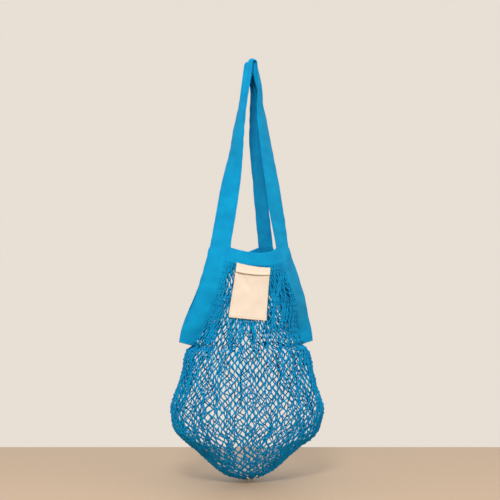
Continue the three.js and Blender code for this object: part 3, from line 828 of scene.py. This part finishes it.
def make_loop(loop, name):
    middle, outward, bow, coords = tape_surface(loop)
    half = TAPE_THICKNESS * edge_round(TAPE_SHARES)[None, :]
    hem = 0.00022 * np.exp(-((np.abs(TAPE_SHARES) - 0.4) / 0.05) ** 2)[None, :]
    outer = middle + outward[:, None, :] * (bow + half - hem)[..., None]
    inner = middle + outward[:, None, :] * (bow - half + hem)[..., None]
    tape = Builder(name + "_tape")
    slab(tape, outer, inner, coords)
    piece = tape.make("tape_cotton", TAPE, [name])
    seams = Builder(name + "_stitches")
    for share in (-0.43, 0.43):
        k = np.abs(TAPE_SHARES - share).argmin()
        for face, way in ((outer, 1), (inner, -1)):
            stitch_line(seams, face[:, k], outward * way, *LOOP_STITCH)
    seams.make("tape_cotton", THREAD)


def stitch_line(builder, path, normals, pitch, length, radius=0.00026):
    """A row of short stitches along a path, each a low arc."""
    lengths = lengths_along(path)
    count = int(lengths[-1] / pitch)
    shares = np.array([0.0, 0.25, 0.75, 1.0])
    rises = np.array([-0.0002, 0.0002, 0.0002, -0.0002])
    for k in range(count):
        places = (k + 0.2) * pitch + shares * length
        line = np.stack([np.interp(places, lengths, path[:, c]) for c in range(3)], axis=-1)
        up = np.stack([np.interp(places, lengths, normals[:, c]) for c in range(3)], axis=-1)
        tube(builder, line + unit(up) * rises[:, None], radius, 4)


# The hemmed feet of the loops, where front and back tape are sewn together as a fin.

def foot_point(loop, end, level, share, lift):
    """A point on the foot of a tape, by its share of the width and its lift off the middle."""
    width = loop.width(end, level)
    point = loop.centre(end, level) + loop.across(end, level) * (share * width)[..., None]
    sink = RIGHT_FOOT_DROP if end == "right" else 0.0
    point[..., 2] += foot_share(level) * (FOOT_TILT * (0.25 - loop.inward * share) - sink)
    point[..., 1] += loop.side * lift
    return point


HEM_POINTS = 14
SEAM_POINTS = 30
HEM_RADIUS = 0.0016
HEM_WAVE = 0.00014


def make_feet():
    hems = Builder("fin_hems")
    folds = Builder("fin_folds")
    seams = Builder("fin_stitches")
    for end in ("left", "right"):
        for loop in (FRONT, BACK):
            share = np.linspace(-0.47, 0.47, HEM_POINTS) * loop.inward
            level = np.full(HEM_POINTS, 2.0)
            hem = foot_point(loop, end, level, share, TAPE_THICKNESS * 0.2)
            hem[:, 2] += 0.0008
            tube(hems, hem, HEM_RADIUS + HEM_WAVE * np.cos(np.arange(HEM_POINTS) * 1.7), 8)
            line = foot_point(loop, end, level - 0.035, share, TAPE_THICKNESS * 0.5)
            face = np.repeat([[0, loop.side, 0.0]], HEM_POINTS, axis=0)
            stitch_line(seams, line, face, *FOOT_STITCH)
            level = np.linspace(1.6, 1.985, SEAM_POINTS)
            share = np.full(SEAM_POINTS, loop.inward * 0.36)
            line = foot_point(loop, end, level, share, TAPE_THICKNESS * 0.5)
            face = np.repeat([[0, loop.side, 0.0]], SEAM_POINTS, axis=0)
            stitch_line(seams, line, face, *FOOT_STITCH)
            turn_in(folds, loop, end)
    hems.make("tape_cotton", TAPE)
    folds.make("tape_cotton", TAPE)
    seams.make("tape_cotton", THREAD)


def turn_in(builder, loop, end):
    """The folded-in corner at a foot: a flat triangle of tape that lies on the net's side."""
    rows, columns = 9, 9
    k = np.linspace(0, 1, rows)[:, None]
    n = np.linspace(0, 1, columns)[None, :]
    level = 1.86 + 0.145 * k + 0 * n
    share = loop.inward * (0.5 - (0.34 * k + 0.02) * (1 - n) + 0.03 * n)
    lift = TAPE_THICKNESS * (1.05 - 0.45 * n) + 0 * k
    outer = foot_point(loop, end, level, share + 0 * k, lift + 0.0005)
    inner = foot_point(loop, end, level, share + 0 * k, lift - 0.0005)
    coords = np.stack(np.broadcast_arrays(k * 0.02, n * 0.012), axis=-1)
    slab(builder, outer, inner, coords)


# The bands along the mouth, folded over the top of the net.

BAND_ROWS = 13
BAND_OVERLAP = 0.006
BAND_HALF = 0.00115
BAND_TUCK = 0.0016
BAND_WAVE = 0.0007


def make_band(loop, name):
    across = np.linspace(0, 1, 70)[None, :]
    down = np.linspace(0, 1, BAND_ROWS)[:, None]
    drop = HANDLE_DROP + down * BAND_HEIGHT
    point = side_point(loop, across, drop, BAND_OVERLAP)
    normal = side_normal(loop, across, drop, BAND_OVERLAP)
    normal = np.broadcast_to(normal[BAND_ROWS // 2][None], point.shape)
    edge = np.minimum(across, 1 - across)
    tuck = -BAND_TUCK * np.clip(1 - edge / 0.07, 0, 1)
    wave = BAND_WAVE * swell(point, FOLDS)
    far = np.abs(down * 2 - 1)
    half = BAND_HALF * np.sqrt(np.clip(1 - np.clip((far - 0.86) / 0.15, 0, 1) ** 2, 0.03, 1))
    middle = point + normal * (tuck + wave)[..., None]
    outer = middle + normal * half[..., None]
    inner = middle - normal * half[..., None]
    if loop.side > 0:
        outer, inner = inner, outer
    coords = np.stack(np.broadcast_arrays(across * MOUTH_WIDTH, down * BAND_HEIGHT), axis=-1)
    band = Builder(name + "_tape")
    slab(band, outer, inner, coords)
    piece = band.make("tape_cotton", TAPE, [name])
    seams = Builder(name + "_stitches")
    for row in (1, BAND_ROWS - 2):
        for way in (1, -1):
            face = middle[row] + normal[row] * (way * half[row])[..., None]
            stitch_line(seams, face, normal[row] * way, *BAND_STITCH)
    seams.make("tape_cotton", THREAD)


# The canvas pocket: a back leaf, and a front leaf whose folded lip stands off a little.

def front_place(x, drop, lift):
    """Points over the front at given places across the bag and down it, lifted off the net."""
    x, drop, lift = np.broadcast_arrays(x, drop, lift)
    low = np.zeros(x.shape)
    high = np.ones(x.shape)
    for _ in range(20):
        half = (low + high) / 2
        before = side_point(FRONT, half, drop)[..., 0] < x
        low = np.where(before, half, low)
        high = np.where(before, high, half)
    return side_point(FRONT, low, drop) + side_normal(FRONT, low, drop) * lift[..., None]


def pocket_place(across, down, lift):
    """Points on the pocket, by their share of its width and height and their lift off the net."""
    width = lerp(POCKET_TOP_WIDTH, POCKET_BOTTOM_WIDTH, down)
    centre = lerp(POCKET_TOP_CENTRE, POCKET_BOTTOM_CENTRE, down)
    drop = POCKET_TOP + down * POCKET_HEIGHT + (across - 0.5) * POCKET_TILT
    return front_place(centre + (across - 0.5) * width, drop, lift)


def pocket_sheet(name, across, down, lift, half):
    """A thin sheet of canvas over the net, between two distances across and down the pocket."""
    sheet = Builder(name)
    coords = np.stack(np.broadcast_arrays(across * POCKET_BOTTOM_WIDTH, down * POCKET_HEIGHT), axis=-1)
    slab(sheet, pocket_place(across, down, lift + half), pocket_place(across, down, lift - half), coords)
    return sheet


def make_pocket():
    base = 0.0032
    columns = 45
    across = np.linspace(0, 1, columns)[None, :]
    middle = np.sin(np.pi * across)
    half = 0.0005

    down = np.linspace(0, 1, 60)[:, None]
    back = pocket_sheet("pocket_back", across, down, np.full((60, columns), base), half)

    share = np.linspace(0, 1, 16)[:, None]
    down = share * (0.166 - 0.034 * across + 0.008 * middle)
    overhang = 0.0012 + (0.0012 + 0.0026 * middle ** 0.6) * share ** 1.5
    roll = 0.0005 * np.exp(-((share - 0.9) / 0.12) ** 2)
    flap = pocket_sheet("pocket_hem", 0.001 + 0.998 * across, down - 0.002, base + overhang + roll, 0.00065)

    down = np.linspace(LIP_SHARE, 1.0, 84)[:, None]
    share = (down - LIP_SHARE) / (1 - LIP_SHARE)
    edge = np.minimum(across, 1 - across)
    sides = np.clip(edge / 0.07, 0, 1) ** 0.6
    foot = np.clip((1 - share) / 0.05, 0, 1) ** 0.6
    belly = 0.0021 * middle * np.sin(np.pi * share) ** 0.7
    dent_line = (across - 0.1) - 0.8 * share
    dent = 0.0038 * np.exp(-(dent_line / 0.1) ** 2) * np.exp(-((share - 0.2) / 0.2) ** 2)
    pleat_line = (across - 0.42) - 0.55 * share
    pleat = 0.0010 * np.exp(-(pleat_line / 0.055) ** 2) * np.exp(-((share - 0.34) / 0.3) ** 2)
    crumple = 0.00035 * np.sin(across * 9 + 3 * share) * np.sin(share * 11 + 2 * across)
    lift = base + 0.0011 + (belly - dent + pleat + crumple) * sides * foot
    inset = 0.003 + 0.994 * across
    front = pocket_sheet("pocket_front", inset, down, lift, half)

    seams = Builder("pocket_stitches")
    for side in (0.045, 0.955):
        k = int(round(side * (columns - 1)))
        path = pocket_place(inset[:, k:k + 1], down, lift[:, k:k + 1] + half)[:, 0]
        normal = side_normal(FRONT, np.full(len(down), 0.5), POCKET_TOP + down[:, 0] * POCKET_HEIGHT)
        stitch_line(seams, path, normal, *POCKET_STITCH)
    row = len(down) - 4
    path = pocket_place(inset, down[row:row + 1], lift[row:row + 1] + half)[0]
    drops = np.full(columns, POCKET_TOP + down[row, 0] * POCKET_HEIGHT)
    normal = side_normal(FRONT, np.linspace(0.2, 0.7, columns), drops)
    stitch_line(seams, path, normal, *POCKET_STITCH)

    for sheet, height in ((back, POCKET_HEIGHT), (flap, HEM_HEIGHT), (front, POCKET_HEIGHT - LIP_HEIGHT)):
        piece = sheet.make("pocket_canvas", CANVAS, ["front_pocket"])
    seams.make("pocket_canvas", CANVAS)


# The tie: twisted cord around the gathered foot of the net, with two short frayed ends.

PLIES = 2
TURNS_PER_METRE = 260.0
RING_POINTS = 90
TAIL_POINTS = 40
TIE_RINGS = ((0.0, 0.0062), (0.0018, 0.0071))
TIE_TAILS = ((-0.0155, 0.0085), (0.0020, 0.0115))
TIE_RADIUS = 0.0011
TAIL_RADIUS = 0.0012
TAIL_START = 0.002
HAIRS = 7
COIL_RADIUS = 0.0016
COIL_REACH = 0.0012


def twisted(builder, path, radius):
    """Plies that wind around a path as one cord."""
    path = np.asarray(path, dtype=float)
    along = unit(np.gradient(path, axis=0))
    side = unit(np.cross(along, [0.2, 0.3, 1.0]))
    other = np.cross(along, side)
    lengths = lengths_along(path)
    for ply in range(PLIES):
        turn = lengths * TURNS_PER_METRE * 2 * math.pi + 2 * math.pi * ply / PLIES
        line = path + (side * np.cos(turn)[:, None] + other * np.sin(turn)[:, None]) * radius * 0.5
        tube(builder, line, radius * 0.58, 6)


def make_tie():
    foot = side_point(FRONT, 0.5, BAG_DROP)
    centre = np.array([foot[0], 0, -BAG_DROP - 0.0022])
    tie = Builder("tie_cord")
    for lift, radius in TIE_RINGS:
        turn = np.linspace(0, 2 * math.pi, RING_POINTS)
        lifts = np.full(RING_POINTS, lift)
        ring = centre + np.stack([np.cos(turn) * radius, np.sin(turn) * radius, lifts], axis=-1)
        twisted(tie, ring, TIE_RADIUS)
    places = np.linspace(0, 1, TAIL_POINTS)
    low = centre + np.array([0, -0.0078, -0.0004])
    for end, rise in TIE_TAILS:
        x = foot[0] + TAIL_START + (end - foot[0] - TAIL_START) * places
        surface = front_place(x, BAG_DROP - 0.0008 - rise * places ** 1.15, 0.0030)
        blend = np.clip(places / 0.3, 0, 1)[:, None] ** 1.5
        path = lerp(low[None, :], surface, blend)
        twisted(tie, path, TAIL_RADIUS)
        tip = path[-1]
        away = unit(path[-1] - path[-6])
        for _ in range(HAIRS):
            spread = unit(away + chance.normal(size=3) * 0.22)
            hair = tip + spread * np.linspace(-0.0006, chance.uniform(0.0012, 0.0026), 5)[:, None]
            tube(tie, hair, np.linspace(0.0003, 0.00012, 5), 4)
    knot = centre + np.array([0, -0.0074, 0.0002])
    turn = np.linspace(0, 2 * math.pi * KNOT_TURNS, TAIL_POINTS)
    reach = np.linspace(-COIL_REACH, COIL_REACH, TAIL_POINTS)
    coil = knot + np.stack([reach, np.cos(turn) * COIL_RADIUS, np.sin(turn) * COIL_RADIUS], axis=-1)
    twisted(tie, coil, 0.0009)
    tie.make("tie_cord", TIE, ["bottom_tie"])


# The pieces.

make_loop(FRONT, "front_loop")
make_loop(BACK, "back_loop")
make_feet()
make_band(FRONT, "front_band")
make_band(BACK, "back_band")
make_pocket()
make_tie()
for cords, knots in weave_net():
    cords.make("net_cord", NET, ["net_body"])
    knots.make("net_cord", NET, ["net_body"])


# Floor, background, lights and camera.

def plain(name, colour, rough):
    made = bpy.data.materials.new(name)
    made.use_nodes = True
    nodes = made.node_tree.nodes
    shader = nodes["Principled BSDF"]
    shader.inputs["Base Color"].default_value = colour
    shader.inputs["Roughness"].default_value = rough
    return made


AZIMUTH = math.radians(-20)
VIEW_WAY = Vector((-math.sin(AZIMUTH), math.cos(AZIMUTH), 0))
VIEW_SIDE = Vector((math.cos(AZIMUTH), math.sin(AZIMUTH), 0))
FLOOR_BEHIND = 0.413
FLOOR_REACH = 9
FLOOR_HEIGHT = cad_bounds[0][2] - 0.0015
LIGHT_AIM = Vector((0, 0, -0.42))
CAMERA_AIM = Vector((0, 0, -0.348))
CAMERA_DISTANCE = 2.4
CAMERA_LENS = 93.4


def make_floor():
    corners = []
    for along, side in ((FLOOR_BEHIND, -FLOOR_REACH), (FLOOR_BEHIND, FLOOR_REACH),
                        (-FLOOR_REACH, FLOOR_REACH), (-FLOOR_REACH, -FLOOR_REACH)):
        point = VIEW_WAY * along + VIEW_SIDE * side
        corners.append((point.x, point.y, FLOOR_HEIGHT))
    mesh = bpy.data.meshes.new("floor")
    mesh.from_pydata(corners, [], [(3, 2, 1, 0)])
    mesh.materials.append(plain("floor", linear(186, 160, 132), 0.5))
    floor = bpy.data.objects.new("floor", mesh)
    bpy.context.scene.collection.objects.link(floor)


def make_light(name, along, side, height, size, power, colour):
    data = bpy.data.lights.new(name, "AREA")
    data.size = size
    data.energy = power
    data.color = colour
    light = bpy.data.objects.new(name, data)
    light.location = LIGHT_AIM + VIEW_WAY * along + VIEW_SIDE * side + Vector((0, 0, height))
    light.rotation_euler = (LIGHT_AIM - light.location).to_track_quat("-Z", "Y").to_euler()
    bpy.context.scene.collection.objects.link(light)


def make_world():
    world = bpy.data.worlds.new("studio")
    bpy.context.scene.world = world
    world.use_nodes = True
    nodes = world.node_tree.nodes
    links = world.node_tree.links
    back = nodes["Background"]
    back.inputs["Color"].default_value = (1.0, 0.97, 0.93, 1)
    back.inputs["Strength"].default_value = 0.85
    seen = nodes.new("ShaderNodeBackground")
    seen.inputs["Color"].default_value = linear(232, 223, 213)
    seen.inputs["Strength"].default_value = 1.0
    path = nodes.new("ShaderNodeLightPath")
    mix = nodes.new("ShaderNodeMixShader")
    links.new(path.outputs["Is Camera Ray"], mix.inputs["Fac"])
    links.new(back.outputs["Background"], mix.inputs[1])
    links.new(seen.outputs["Background"], mix.inputs[2])
    links.new(mix.outputs["Shader"], nodes["World Output"].inputs["Surface"])


def make_camera():
    data = bpy.data.cameras.new("camera")
    data.sensor_width = 36
    data.lens = CAMERA_LENS
    camera = bpy.data.objects.new("camera", data)
    camera.location = CAMERA_AIM - VIEW_WAY * CAMERA_DISTANCE
    camera.rotation_euler = VIEW_WAY.to_track_quat("-Z", "Y").to_euler()
    bpy.context.scene.collection.objects.link(camera)
    bpy.context.scene.camera = camera


make_floor()
make_light("key", -1.7, -0.2, 1.1, 0.5, 30, (1.0, 0.98, 0.95))
make_light("fill", -1.0, 1.8, 0.2, 1.6, 7, (1.0, 0.98, 0.96))
make_world()
make_camera()
bpy.context.scene.view_settings.view_transform = "Standard"
